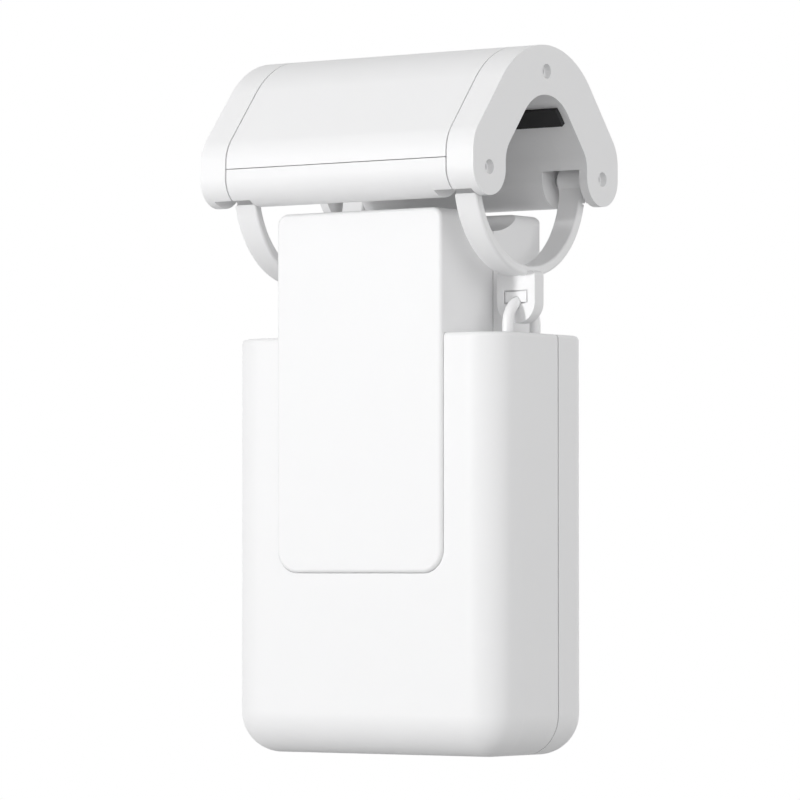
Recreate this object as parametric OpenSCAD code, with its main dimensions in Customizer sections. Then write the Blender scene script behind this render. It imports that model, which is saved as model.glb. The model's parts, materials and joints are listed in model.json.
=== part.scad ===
// Curtain robot: a roller head with hinged rings, and a drive unit that hangs from them on wire bails.
// Frame: millimetres, +X along the head, front is -Y, +Z up, origin on the round way's axis at mid length.

/* [Head] */
// Diameter of the round way that the head and the rings close on
way_d = 28; // [26:0.5:30]
// Length of the head
head_len = 84.8; // [76:0.2:96]
// Thickness of each end cap
cap_t = 8.35; // [7:0.05:9]
// Gap between the round way's top and the arch's ceiling
arch_gap = 4.7; // [4:0.1:6]
// Height of the head's wall over the arch
head_wall = 12.5; // [12:0.1:14]
// Radius of the arch's ceiling
arch_r = 12.4; // [11:0.1:13]
// Tilt of the head's sloping sides from upright
slope = 39.2; // [38:0.2:40]
// Half of the clear width between the legs
leg_in = 18.2; // [17.6:0.1:18.8]
// Width of each leg from front to back
leg_w = 14.1; // [13.4:0.1:15]
// Wall of the head's outer cover
cover_t = 2.2; // [1.8:0.1:2.4]
// Height of the parting line between cover and chassis
parting_z = 1.4; // [0.8:0.1:2]
// Width of the parting line between cover and chassis
parting_gap = 0.18; // [0.1:0.02:0.3]
// Width of the other visible seams
seam = 0.4; // [0.2:0.05:0.5]
// Diameter of the holes that the pins are sunk in
sunk_d = 3.7; // [3.2:0.1:4.2]

/* [Idler rollers] */
// Outer radius of an idler roller's tyre
roller_r = 6.3; // [5.8:0.1:6.4]
// Length of an idler roller from front to back
roller_w = 11; // [8:0.5:12]
// Distance of each idler roller from its end cap's seam
roller_in = 16.05; // [14:0.05:18]
// Diameter of an idler roller's axle
roller_axle_d = 3; // [2.6:0.1:3.4]
// Width of the rubber pads on the arch's sloping walls
pad_w = 5; // [4:0.5:7]
// Thickness of the rubber pads
pad_t = 2; // [1.6:0.1:2.2]
// Distance of a pad's ends from the end faces
pad_in = 2; // [1:0.5:6]

/* [Rings] */
// Inner radius of the rings that close under the head
ring_ri = 22.3; // [21.8:0.1:22.8]
// Thickness of a ring's band
ring_t = 2.5; // [2.2:0.1:3]
// Width of a ring's band along the head
ring_w = 6.9; // [6:0.1:7.4]
// Distance of each ring's middle beyond its end cap's seam
ring_out = 0.25; // [0:0.05:0.6]
// Radius of a ring's edges
ring_edge = 0.7; // [0.4:0.1:1]
// Width of the eyelet tab under a ring
tab_w = 11.4; // [10.6:0.1:12]
// Thickness of the eyelet tab
tab_t = 4; // [3.4:0.1:4.6]
// Clear width of the eyelet's slot
slot_w = 7.1; // [6:0.1:7.6]
// Diameter of the hinge and latch pins
pin_d = 2.6; // [2.2:0.1:2.8]

/* [Bails] */
// Diameter of the bail wire
bail_d = 2.8; // [2.4:0.1:3]
// Distance between the two legs of a bail
bail_span = 12.2; // [11.6:0.1:13]
// Radial running clearance of pins, shafts and bail legs
run = 0.05; // [0.03:0.01:0.08]

/* [Neck and body] */
// Clearance between the neck and the eyelet tabs
neck_gap = 2.95; // [2:0.05:4]
// How far the strap and neck stand proud of the body's front and back
strap_proud = 0.9; // [0.6:0.1:1.6]
// How much wider the body is than the head
body_over = 0.4; // [0:0.1:2]
// Depth of the body
body_d = 42.6; // [38:0.1:48]
// Height of the body
body_h = 105.6; // [104:0.2:120]
// Radius of the body's upright and lower edges
body_r = 10.5; // [9:0.1:11]
// Wall of the body's shells
wall = 2.2; // [2:0.1:2.4]
// Height of the strap below the body's top
strap_h = 59.8; // [56:0.2:64]
// Radius of the strap's front edges
strap_edge = 1; // [0.6:0.1:1.2]

/* [Drive] */
// Waist radius of the drive wheel
wheel_r = 11; // [10.6:0.1:11.4]
// Width of the drive wheel
wheel_w = 16; // [14:0.5:16.5]
// Pitch radius of the gear on the drive wheel
wheel_gear_r = 10; // [9.8:0.05:10.2]
// Diameter of the motor's can
motor_d = 24; // [20:0.5:25]
// Length of a battery cell
cell_l = 65; // [58:0.5:73]

/* [Hidden] */
$fn = 96;
eps = 0.01;
over = 1;
blend = 0.01;
far = 200;
deep = 50;
arch_z = way_d / 2 + arch_gap;
head_top = arch_z + head_wall;
arch_side_r = 8;
head_crown = 12.9;
head_top_r = arch_r + head_crown;
head_side_r = 10;
leg_y = leg_in + leg_w / 2;
leg_out = leg_in + leg_w;
leg_z = -0.9;
leg_bot = leg_z - leg_w / 2;
void_z = -40;
seam_x = head_len / 2 - cap_t;
core_x = seam_x + seam;
ring_x = seam_x + ring_out;
body_w = head_len + body_over;
neck_w = 2 * (ring_x - tab_w / 2 - neck_gap);
neck_d = body_d + 2 * strap_proud;
roller_x = seam_x - roller_in;

pin_r = pin_d / 2;
pin_z = -1;
pin_sink = 1.8;
sunk_r = sunk_d / 2;
pin_len = head_len - 2 * pin_sink;
cap_screw_down = 6.6;
cap_screw_z = head_top - cap_screw_down;
cap_screw_l = 10;
hex_d = 1.5;
hex_deep = 0.8;

notch_room = 2.2;
notch_reach = 4.35;
notch_high = 4.2;
notch_in = ring_w / 2 + notch_room;
notch_y = leg_y + notch_reach;
notch_top = pin_z + notch_high;
notch_x0 = ring_x - notch_in;
notch_x1 = ring_x + notch_in;

roller_z = way_d / 2 + roller_r;
roller_axle_r = roller_axle_d / 2;
roller_axle_l = 24;
roller_hub_r = 4.6;
pocket_gap = 0.7;
pocket_top = roller_z + roller_r + pocket_gap;
pad_sunk = 0.6;
pad_top = 2.75;
pad_x = head_len / 2 - pad_in;

ring_z = -1.8;
arm_t = 1.2;
ring_end = 0.8;
ring_end_r = 0.9;
ring_end_z = leg_bot + ring_end;
knuckle_r = 3.6;
hook_gap = 0.6;
tab_bot = -38.4;
tab_r = 5.2;
tab_top = ring_z - ring_ri - ring_t / 2;
tab_edge = 1.2;
bail_r = bail_d / 2;
slot_play = 0.2;
slot_h = 3.4;
slot_z = -31.85;
plug_gap = 0.35;
plug_lip = 0.8;

bail_y = 0.5;
bail_bend_r = bail_span / 2;
bail_drop = 0.95;
bail_top_z = slot_z - bail_drop;
bail_bend_z = bail_top_z - bail_bend_r;
bail_x = ring_x;
bail_bot = -70.5;
collar_r = 3;
collar_h = 3;
bail_tip = 0.5;
collar_z = bail_bot + bail_tip;

body_top = -41.2;
body_bot = body_top - body_h;
body_top_r = 1.2;
body_seam_y = 4.65;
lip_t = 1.2;
lip_reach = 2;
neck_top = -9.9;
neck_seam_y = 0.5;
neck_front_r = 1.2;
neck_top_r = 3;
neck_wall = 2.25;
neck_boss_r = 2;
neck_hw = neck_w / 2;
neck_hd = neck_d / 2;
mouth_w = neck_w - 2 * neck_wall;
mouth_edge = 0.3;
mouth_d = body_d - 2 * (wall + mouth_edge);
strap_bot = body_top - strap_h;
strap_r = 6;
strap_sink = 0.6;
strap_fit = 0.15;
strap_back = -body_d / 2 + strap_sink;

saddle_gap = 4.8;
saddle_r = way_d / 2 + saddle_gap;
saddle_z = 4;
saddle_wall = 2.2;
window_x = 14;
window_y = 9.6;

bush_r = 2.75;
bush_l = 12;
bush_flange_r = 3.6;
bush_flange_t = 1.6;

wheel_z = -way_d / 2 - wheel_r;
wheel_hollow_r = 20;
wheel_core_r = 8.5;
wheel_edge = 1.8;
axle_r = 2;
bearing_r = 4;
wheel_teeth = 20;
idler_teeth = 24;
pinion_teeth = 10;
tooth_add = 0.8;
tooth_ded = 1.2;
tooth_sunk = 0.5;
tooth_root = 0.85;
tooth_tip = 0.32;
idler_gear_r = wheel_gear_r * idler_teeth / wheel_teeth;
pinion_gear_r = wheel_gear_r * pinion_teeth / wheel_teeth;
idler_z = wheel_z - wheel_gear_r - idler_gear_r;
pinion_z = idler_z - idler_gear_r - pinion_gear_r;
idler_pin_r = 1.5;
idler_pin_tip = 1;
shaft_r = 1;

frame_x = 17;
frame_t = 2;
frame_top = -18.5;
frame_front = -14;
frame_gap = 0.6;
frame_rear = body_d / 2 - wall - frame_t - frame_gap;
gear_t = 4;
gear_gap = 0.5;
gear_y = frame_rear - gear_t - gear_gap;
frame_bot = pinion_z - motor_d / 2 - frame_t;
axle_y0 = frame_front;
axle_y1 = frame_rear + frame_t;
motor_gap = 1.5;
motor_face = gear_y - motor_gap;
motor_back = frame_front + frame_t;

cell_r = 9.2;
cell_gap = 1.4;
cell_y = -(body_d / 2 - wall - cell_r - cell_gap);
cell_pitch = 19.4;
cell_up = 14.3;
cell_z0 = body_bot + cell_up;
tray_y = cell_y + cell_r;
tray_t = 1.8;
tray_up = 4.8;
tray_h = 50;
tray_z0 = body_bot + tray_up;
tray_z1 = tray_z0 + tray_h;
tray_end_t = 2;
tray_x = cell_l / 2 + tray_end_t;
tray_end_y = 4;
rib_x = 22;
rib_t = 3;
boss_x = 30;
boss_r = 3;
boss_low = 10.8;
boss_pitch = 38;
boss_z = [body_bot + boss_low, body_bot + boss_low + boss_pitch];
board_x = 25;
board_t = 1.6;
board_h = 52;
board_z0 = body_bot + tray_up;
standoff_x = 20;
standoff_r = 2;
port_w = 9;
port_h = 3.2;
port_l = 7.4;
port_in = 5.55;
port_y = body_seam_y + port_in;
board_y = port_y - port_h / 2 - board_t;
port_fit = 0.3;
port_skin = 0.3;
port_back = 1;
port_tongue_w = 6.6;
port_tongue_t = 0.7;
port_tongue_z = 1.2;
button_x = 18;
button_r = 2.6;
button_gap = 0.4;
button_flange_r = 3.8;
button_flange_t = 1;
button_travel = 0.6;
switch_gap = 0.5;
switch_h = 3.6;
switch_z = body_bot + port_fit + wall + button_flange_t + button_travel + switch_gap;
pipe_r = 1.2;
screw_r = 1.2;
screw_head_r = 2.4;
screw_head_t = 1.3;
screw_sink = 0.3;
screw_tip = 1;
body_y = body_d / 2;

white = [0.93, 0.93, 0.93];
white_b = [0.9, 0.9, 0.9];
steel = [0.72, 0.73, 0.75];
black = [0.08, 0.08, 0.08];
green = [0.1, 0.32, 0.2];
grey = [0.5, 0.52, 0.55];
clear = [0.85, 0.9, 0.95];
blue = [0.2, 0.35, 0.6];

// Extrudes a YZ outline along X.
module along_x(x0, len) {
    translate([x0, 0, 0])
        rotate([90, 0, 90])
            linear_extrude(height = len) children();
}

// Extrudes an XZ outline along Y.
module along_y(y0, len) {
    translate([0, y0 + len, 0])
        rotate([90, 0, 0])
            linear_extrude(height = len) children();
}

// Cylinder along X.
module round_x(x0, len, r) {
    translate([x0, 0, 0])
        rotate([0, 90, 0])
            cylinder(h = len, r = r);
}

// Cylinder along Y.
module round_y(y0, len, r) {
    translate([0, y0, 0])
        rotate([-90, 0, 0])
            cylinder(h = len, r = r);
}

// Box given by its low and high corners.
module box(low, high) {
    translate(low)
        cube([high[0] - low[0], high[1] - low[1], high[2] - low[2]]);
}

// Copies the right hand piece to the left.
module both_sides() {
    children();
    mirror([1, 0, 0]) children();
}

// Part of a disc that lies beyond the chord between two angles.
module disc_segment(r, a0, a1) {
    am = (a0 + a1) / 2;
    out = [r * cos(am), r * sin(am)];
    p0 = [r * cos(a0), r * sin(a0)];
    p1 = [r * cos(a1), r * sin(a1)];
    intersection() {
        circle(r = r);
        polygon([p0, p0 + out, p1 + out, p1]);
    }
}

// Part of a disc that lies above a level.
module disc_above(r, z) {
    intersection() {
        circle(r = r);
        translate([-far / 2, z]) square([far, far]);
    }
}

// Bar along X with the outline of a round-topped arch with sloping shoulders and upright sides.
module arch_bar(x0, len, r_top, z_top, y_side, r_side, z_low) {
    zc = z_top - r_top;
    ys = y_side - r_side;
    zs = zc + (r_top - r_side - ys * cos(slope)) / sin(slope);
    flat = [cos(slope), sin(slope)];
    top = [0, zc] + (r_top - blend) * flat;
    shoulder = [ys, zs] + (r_side - blend) * flat;
    edge = y_side - blend;
    union() {
        along_x(x0, len)
            translate([0, zc]) disc_above(r_top, 0);
        for (s = [-1, 1])
            along_x(x0, len)
                translate([s * ys, zs]) disc_above(r_side, max(-r_side / 2, z_low - zs));
        along_x(x0, len)
            polygon([
                top,
                shoulder,
                [edge, zs],
                [edge, z_low],
                [-edge, z_low],
                [-edge, zs],
                [-shoulder[0], shoulder[1]],
                [-top[0], top[1]]
            ]);
    }
}

// Space under the head, open at both ends.
module way_void() {
    arch_bar(-far / 2, far, arch_r, arch_z, leg_in, arch_side_r, void_z);
}

// Outer form of the head down to the legs' roots.
module head_block(x0, len) {
    arch_bar(x0, len, head_top_r, head_top, leg_out, head_side_r, leg_z);
}

// Core that the cover is seated on.
module core_block(x0, len) {
    arch_bar(x0, len, head_top_r - cover_t, head_top - cover_t, leg_out - cover_t,
        head_side_r - cover_t, parting_z - cover_t);
}

// Outer form of the head with its two rounded legs.
module head_solid(x0, len) {
    difference() {
        union() {
            head_block(x0, len);
            for (s = [-1, 1])
                along_x(x0, len)
                    translate([s * leg_y, leg_z]) circle(r = leg_w / 2 + 2 * blend);
        }
        way_void();
    }
}

// Pockets in the legs' undersides that the ring ends swing in.
module ring_notches() {
    both_sides()
        for (s = [-1, 1])
            box([notch_x0, s < 0 ? -notch_y : leg_in - eps, leg_bot - over],
                [notch_x1, s < 0 ? -leg_in + eps : notch_y, notch_top]);
}

// Holes for the hinge and latch pins.
module pin_holes() {
    for (s = [-1, 1])
        translate([0, s * leg_y, pin_z])
            round_x(-pin_len / 2 - over, pin_len + 2 * over, pin_r);
}

// Holes for the end cap screws.
module cap_screw_holes() {
    both_sides()
        translate([0, 0, cap_screw_z])
            round_x(head_len / 2 - pin_sink - cap_screw_l, cap_screw_l + over, pin_r);
}

// Wider holes in an end face that the pins and the screw are sunk in, on the right.
module sunk_holes() {
    for (place = [[-leg_y, pin_z], [leg_y, pin_z], [0, cap_screw_z]])
        translate([0, place[0], place[1]])
            round_x(head_len / 2 - pin_sink, pin_sink + over, sunk_r);
}

// Rubber pad on a sloping wall of the arch, at the rear for 1 and at the front for -1.
module pad(s) {
    translate([0, 0, arch_z - arch_r])
        mirror([0, s < 0 ? 1 : 0, 0])
            rotate([slope, 0, 0])
                box([-pad_x, arch_r + pad_sunk - pad_t, pad_top - pad_w],
                    [pad_x, arch_r + pad_sunk, pad_top]);
}

module head_cover() {
    color(white)
        difference() {
            intersection() {
                head_block(-seam_x, 2 * seam_x);
                box([-far, -far, parting_z + parting_gap / 2], [far, far, far]);
            }
            core_block(-seam_x - over, 2 * (seam_x + over));
        }
}

module head_chassis() {
    color(white_b)
        difference() {
            union() {
                core_block(-core_x, 2 * core_x);
                intersection() {
                    head_solid(-seam_x, 2 * seam_x);
                    box([-far, -far, -far], [far, far, parting_z - parting_gap / 2]);
                }
            }
            way_void();
            ring_notches();
            pin_holes();
            cap_screw_holes();
            for (s = [-1, 1]) {
                pad(s);
                box([s * roller_x - roller_r - pocket_gap, -roller_w / 2 - pocket_gap, arch_z - arch_r],
                    [s * roller_x + roller_r + pocket_gap, roller_w / 2 + pocket_gap, pocket_top]);
                translate([s * roller_x, 0, roller_z])
                    round_y(-roller_axle_l / 2, roller_axle_l, roller_axle_r);
            }
        }
}

// One end cap, on the right.
module end_cap() {
    color(white)
        difference() {
            head_solid(core_x, head_len / 2 - core_x);
            ring_notches();
            pin_holes();
            cap_screw_holes();
            sunk_holes();
            for (s = [-1, 1])
                pad(s);
        }
}

module right_end_cap() {
    end_cap();
}

module left_end_cap() {
    mirror([1, 0, 0]) end_cap();
}

module cap_screws() {
    color(steel)
        both_sides()
            translate([0, 0, cap_screw_z])
                difference() {
                    round_x(head_len / 2 - pin_sink - cap_screw_l, cap_screw_l, pin_r);
                    translate([head_len / 2 - pin_sink - hex_deep, 0, 0])
                        rotate([0, 90, 0])
                            cylinder(h = hex_deep + over, d = hex_d, $fn = 6);
                }
}

module hinge_pin() {
    color(steel)
        translate([0, -leg_y, pin_z])
            round_x(-pin_len / 2, pin_len, pin_r);
}

module latch_pin() {
    color(steel)
        translate([0, leg_y, pin_z])
            round_x(-pin_len / 2, pin_len, pin_r);
}

module front_pad() {
    color(black) pad(-1);
}

module rear_pad() {
    color(black) pad(1);
}

// One idler roller's axle.
module roller_axle(s) {
    color(steel)
        translate([s * roller_x, 0, roller_z])
            round_y(-roller_axle_l / 2, roller_axle_l, roller_axle_r);
}

module left_roller_axle() {
    roller_axle(-1);
}

module right_roller_axle() {
    roller_axle(1);
}

// One idler roller's hub, free on its axle.
module roller_hub(s) {
    color(grey)
        translate([s * roller_x, 0, roller_z])
            difference() {
                round_y(-roller_w / 2, roller_w, roller_hub_r);
                round_y(-roller_w, 2 * roller_w, roller_axle_r + run);
            }
}

module left_roller_hub() {
    roller_hub(-1);
}

module right_roller_hub() {
    roller_hub(1);
}

// One idler roller's rubber tyre.
module roller_tyre(s) {
    color(black)
        translate([s * roller_x, 0, roller_z])
            difference() {
                round_y(-roller_w / 2, roller_w, roller_r);
                round_y(-roller_w, 2 * roller_w, roller_hub_r);
            }
}

module left_roller_tyre() {
    roller_tyre(-1);
}

module right_roller_tyre() {
    roller_tyre(1);
}

// Lower half of a ring's band with rounded edges.
module ring_band() {
    translate([ring_x, 0, ring_z])
        rotate([180, 0, 0])
            rotate([90, 0, 90])
                rotate_extrude(angle = 180)
                    translate([ring_ri + ring_t / 2, 0])
                        plan_shape(ring_t / 2, ring_w / 2, ring_edge, ring_edge);
}

// Outer layer of a band above its ends, where a thinner arm goes on into the leg.
module ring_shoulders() {
    difference() {
        box([ring_x - ring_w, -far / 2, ring_end_z - ring_end_r],
            [ring_x + ring_w, far / 2, ring_z + over]);
        translate([0, 0, ring_z]) round_x(-far / 2, far, ring_ri + arm_t);
        along_y(-far, 2 * far)
            translate([ring_x, 0]) neck_face(ring_w / 2 + blend, tab_bot, ring_end_z, ring_end_r);
    }
}

// Bore of the hinge knuckle and the open throat of the latch hook.
module ring_cuts() {
    x0 = ring_x - ring_w / 2 - over;
    len = ring_w + 2 * over;
    translate([0, -leg_y, pin_z]) round_x(x0, len, pin_r + run);
    translate([0, leg_y, pin_z]) round_x(x0, len, pin_r + hook_gap);
    box([x0, leg_y - pin_r - hook_gap, pin_z],
        [x0 + len, leg_y + pin_r + hook_gap, pin_z + knuckle_r + over]);
}

// Outline of the eyelet's slot, drawn in by a gap on all sides.
module slot_face(gap) {
    translate([ring_x - slot_w / 2 + gap, slot_z - slot_h / 2 + gap])
        square([slot_w - 2 * gap, slot_h - 2 * gap]);
}

// Outline of the eyelet tab, seen from the front.
module tab_outline() {
    difference() {
        union() {
            for (s = [-1, 1]) {
                translate([ring_x + s * (tab_w / 2 - tab_r), tab_bot + tab_r]) circle(r = tab_r);
                translate([ring_x + s * (tab_w / 2 - tab_edge), tab_top - tab_edge]) circle(r = tab_edge);
            }
            translate([ring_x - tab_w / 2 + tab_r, tab_bot]) square([tab_w - 2 * tab_r, tab_r]);
            translate([ring_x - tab_w / 2, tab_bot + tab_r])
                square([tab_w, tab_top - tab_edge - tab_bot - tab_r]);
            translate([ring_x - tab_w / 2 + tab_edge, tab_top - tab_edge])
                square([tab_w - 2 * tab_edge, tab_edge]);
        }
        slot_face(0);
    }
}

// One ring with its knuckle, hook and eyelet tab, on the right.
module ring() {
    color(white)
        difference() {
            union() {
                difference() {
                    ring_band();
                    ring_shoulders();
                }
                for (s = [-1, 1])
                    translate([0, s * leg_y, pin_z]) round_x(ring_x - ring_w / 2, ring_w, knuckle_r);
                along_y(-tab_t / 2, tab_t) tab_outline();
            }
            ring_cuts();
            bail_bend(bail_r + slot_play / 2);
        }
}

module right_ring() {
    ring();
}

module left_ring() {
    mirror([1, 0, 0]) ring();
}

// Bent top of a bail, on the right.
module bail_bend(r) {
    translate([bail_x, bail_y, bail_bend_z])
        rotate([90, 0, 90])
            rotate_extrude(angle = 180)
                translate([bail_bend_r, 0]) circle(r = r);
}

// Plug that closes the eyelet's slot over the wire, on the right.
module slot_plug() {
    difference() {
        union() {
            along_y(-tab_t / 2, plug_lip + eps) slot_face(plug_gap);
            along_y(plug_lip - tab_t / 2, tab_t - plug_lip) slot_face(0);
        }
        bail_bend(bail_r + slot_play / 2);
    }
}

module slot_plugs() {
    color(white) {
        slot_plug();
        mirror([1, 0, 0]) slot_plug();
    }
}

// One bent wire bail that hooks through the eyelet, on the right.
module bail() {
    color(white)
        union() {
            for (s = [-1, 1])
                translate([bail_x, bail_y + s * bail_bend_r, bail_bot])
                    cylinder(h = bail_bend_z - bail_bot, r = bail_r);
            bail_bend(bail_r);
        }
}

module right_bail() {
    bail();
}

module left_bail() {
    mirror([1, 0, 0]) bail();
}

// Places a child at each bail leg.
module at_bail_legs() {
    for (sx = [-1, 1])
        for (sy = [-1, 1])
            translate([sx * bail_x, bail_y + sy * bail_bend_r, 0]) children();
}

module bail_collars() {
    color(steel)
        at_bail_legs()
            translate([0, 0, collar_z])
                difference() {
                    cylinder(h = collar_h, r = collar_r);
                    translate([0, 0, -over]) cylinder(h = collar_h + 2 * over, r = bail_r);
                }
}

module bail_bushes() {
    color(grey)
        at_bail_legs()
            difference() {
                union() {
                    translate([0, 0, body_top - bush_l]) cylinder(h = bush_l, r = bush_r);
                    translate([0, 0, body_top - wall - bush_flange_t])
                        cylinder(h = bush_flange_t, r = bush_flange_r);
                }
                translate([0, 0, body_top - bush_l - over])
                    cylinder(h = bush_l + 2 * over, r = bail_r + run);
            }
}

// Rounded rectangle with its own radii at low and high Y.
module plan_shape(hw, hd, r_low, r_high) {
    for (s = [-1, 1]) {
        translate([s * (hw - r_low), -hd + r_low]) circle(r = r_low);
        translate([s * (hw - r_high), hd - r_high]) circle(r = r_high);
    }
    translate([-hw + r_low, -hd]) square([2 * (hw - r_low), r_low]);
    translate([-hw + r_high, hd - r_high]) square([2 * (hw - r_high), r_high]);
    translate([-hw, -hd + r_low]) square([2 * hw, 2 * hd - r_low - r_high]);
}

// Outline of the neck's front with its rounded top corners.
module neck_face(hw, z0, z1, r) {
    for (s = [-1, 1])
        translate([s * (hw - r), z1 - r]) circle(r = r);
    translate([-hw + r, z0]) square([2 * (hw - r), z1 - z0]);
    translate([-hw, z0]) square([2 * hw, z1 - z0 - r]);
}

// Whole neck, hollow and open below, with a round saddle on top.
module neck_shell() {
    difference() {
        intersection() {
            translate([0, 0, body_top])
                linear_extrude(height = neck_top - body_top)
                    plan_shape(neck_hw, neck_hd, neck_front_r, neck_front_r);
            along_y(-neck_hd - over, neck_d + 2 * over)
                neck_face(neck_hw, body_top, neck_top, neck_top_r);
        }
        difference() {
            box([-neck_hw + neck_wall, -neck_hd + neck_wall, body_top - over],
                [neck_hw - neck_wall, neck_hd - neck_wall, neck_top - saddle_wall]);
            translate([0, 0, saddle_z]) round_x(-far / 2, far, saddle_r + saddle_wall);
        }
        translate([0, 0, saddle_z]) round_x(-far / 2, far, saddle_r);
        box([-window_x, -window_y, wheel_z], [window_x, window_y, 0]);
    }
}

// Outline of the strap on the body's front, grown by a fit.
module strap_face(fit) {
    hw = neck_hw + fit;
    r = strap_r + fit;
    z0 = strap_bot - fit;
    for (s = [-1, 1])
        translate([s * (hw - r), z0 + r]) circle(r = r);
    translate([-hw + r, z0]) square([2 * (hw - r), r]);
    translate([-hw, z0 + r]) square([2 * hw, body_top - z0 - r]);
}

// Section of the strap's edge, with its front corner rounded.
module strap_section(w) {
    translate([w - strap_edge, -neck_hd + strap_edge]) disc_segment(strap_edge, 270, 360);
    polygon([
        [0, -neck_hd],
        [w - strap_edge, -neck_hd],
        [w, -neck_hd + strap_edge],
        [w, strap_back],
        [0, strap_back]
    ]);
}

// End of the strap with rounded corners, drawn downwards from the middle of its corners.
module strap_end(z, r) {
    translate([0, 0, z])
        rotate([-90, 0, 0]) {
            along_x(-neck_hw + r, 2 * (neck_hw - r)) strap_section(r);
            for (s = [0, 1])
                mirror([s, 0, 0])
                    translate([neck_hw - r, 0, 0]) rotate_extrude(angle = 90) strap_section(r);
        }
}

// Front plate of the neck and strap with rounded front edges.
module strap_plate() {
    z0 = strap_bot + strap_r;
    z1 = neck_top - neck_top_r;
    translate([0, 0, z0])
        linear_extrude(height = z1 - z0) {
            strap_section(neck_hw);
            mirror([1, 0]) strap_section(neck_hw);
        }
    strap_end(z0, strap_r);
    translate([0, 0, 2 * z1]) mirror([0, 0, 1]) strap_end(z1, neck_top_r);
}

module front_strap_cover() {
    color(white)
        union() {
            intersection() {
                neck_shell();
                box([-far, strap_back, -far], [far, neck_seam_y - seam / 2, far]);
            }
            strap_plate();
        }
}

module neck_rear_cover() {
    color(white)
        union() {
            intersection() {
                neck_shell();
                box([-far, neck_seam_y + seam / 2, -far], [far, far, far]);
            }
            for (s = [-1, 1])
                translate([s * (frame_x - boss_r), 0, wheel_z])
                    round_y(axle_y1, neck_hd - neck_wall - axle_y1 + eps, neck_boss_r);
            both_sides()
                box([neck_hw - 2 * neck_wall, neck_seam_y - lip_reach, body_top],
                    [neck_hw - neck_wall, neck_seam_y + lip_reach, -saddle_r]);
        }
}

// Half section of the body's edge: round below, with a small round above if it has a radius.
module edge_section(w, z0, z1, r0, r1) {
    translate([w - r0, z0 + r0]) disc_segment(r0, 270, 360);
    translate([w - r1, z1 - r1]) disc_segment(r1, 0, 90);
    polygon([
        [0, z0],
        [w - r0, z0],
        [w, z0 + r0],
        [w, z1 - r1],
        [w - r1, z1],
        [0, z1]
    ]);
}

// Solid body block with rounded upright and lower edges.
module tub(hw, hd, z0, z1, r, r_top) {
    for (s = [0, 1]) {
        mirror([0, s, 0])
            along_x(-hw + r, 2 * (hw - r)) edge_section(hd, z0, z1, r, r_top);
        mirror([s, 0, 0])
            translate([hw - r, 0, 0])
                along_y(-hd + r, 2 * (hd - r)) edge_section(r, z0, z1, r, r_top);
    }
    for (sx = [0, 1])
        for (sy = [0, 1])
            mirror([sx, 0, 0])
                mirror([0, sy, 0])
                    translate([hw - r, hd - r, 0])
                        rotate_extrude(angle = 90) edge_section(r, z0, z1, r, r_top);
}

// Inside space of the body, drawn in by a margin.
module tub_inside(m) {
    tub(body_w / 2 - wall - m, body_y - wall - m, body_bot + wall + m, body_top - wall - m,
        body_r - wall - m, body_top_r / 2);
}

// Both halves of the body's shell as one hollow solid.
module body_shell() {
    difference() {
        tub(body_w / 2, body_y, body_bot, body_top, body_r, body_top_r);
        tub_inside(0);
        box([-mouth_w / 2, -mouth_d / 2, body_top - wall - over],
            [mouth_w / 2, mouth_d / 2, body_top + over]);
        at_bail_legs()
            translate([0, 0, body_top - wall - over]) cylinder(h = wall + 2 * over, r = bush_r);
    }
}

module body_front_shell() {
    color(white)
        difference() {
            intersection() {
                body_shell();
                box([-far, -far, -far], [far, body_seam_y - seam / 2, far]);
            }
            along_y(-body_y - over, over + strap_sink) strap_face(strap_fit);
            along_y(-body_y - over, over + strap_sink)
                translate([-neck_hw - strap_fit, body_top - over])
                    square([neck_w + 2 * strap_fit, 2 * over]);
        }
}

module body_rear_shell() {
    color(white)
        difference() {
            union() {
                intersection() {
                    body_shell();
                    box([-far, body_seam_y + seam / 2, -far], [far, far, far]);
                }
                difference() {
                    intersection() {
                        tub_inside(0);
                        box([-far, body_seam_y - lip_reach, -far],
                            [far, body_seam_y + lip_reach, far]);
                    }
                    tub_inside(lip_t);
                    box([-mouth_w / 2, -mouth_d / 2, body_top - deep],
                        [mouth_w / 2, mouth_d / 2, body_top]);
                    at_bail_legs()
                        translate([0, 0, body_top - deep]) cylinder(h = deep, r = bush_flange_r + run);
                }
                for (sx = [-1, 1])
                    for (z = boss_z)
                        translate([sx * boss_x, 0, z])
                            round_y(tray_y + tray_t, body_y - wall / 2 - tray_y - tray_t, boss_r);
            }
            for (sx = [-1, 1])
                for (z = boss_z)
                    translate([sx * boss_x, 0, z]) {
                        round_y(tray_y, body_d, screw_r);
                        round_y(body_y - screw_head_t - screw_sink, body_d, screw_head_r);
                    }
            translate([0, port_y, body_bot - over])
                linear_extrude(height = wall + 2 * over)
                    plan_shape(port_w / 2 + port_fit, port_h / 2 + port_fit, port_h / 2, port_h / 2);
            translate([button_x, port_y, body_bot - over])
                cylinder(h = wall + 2 * over, r = button_r + button_gap);
            translate([button_x, port_y, body_bot + wall])
                cylinder(h = deep, r = button_flange_r + button_gap);
            translate([-button_x, port_y, body_bot - over])
                cylinder(h = wall + 2 * over, r = pipe_r);
        }
}

module shell_screws() {
    color(steel)
        for (sx = [-1, 1])
            for (z = boss_z)
                translate([sx * boss_x, 0, z])
                    difference() {
                        union() {
                            round_y(tray_y + tray_t + screw_tip,
                                body_y - tray_y - tray_t - screw_tip - screw_sink, screw_r);
                            round_y(body_y - screw_sink - screw_head_t, screw_head_t, screw_head_r);
                        }
                        translate([0, body_y - screw_sink - hex_deep, 0])
                            rotate([-90, 0, 0])
                                cylinder(h = hex_deep + over, d = hex_d, $fn = 6);
                    }
}

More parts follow.
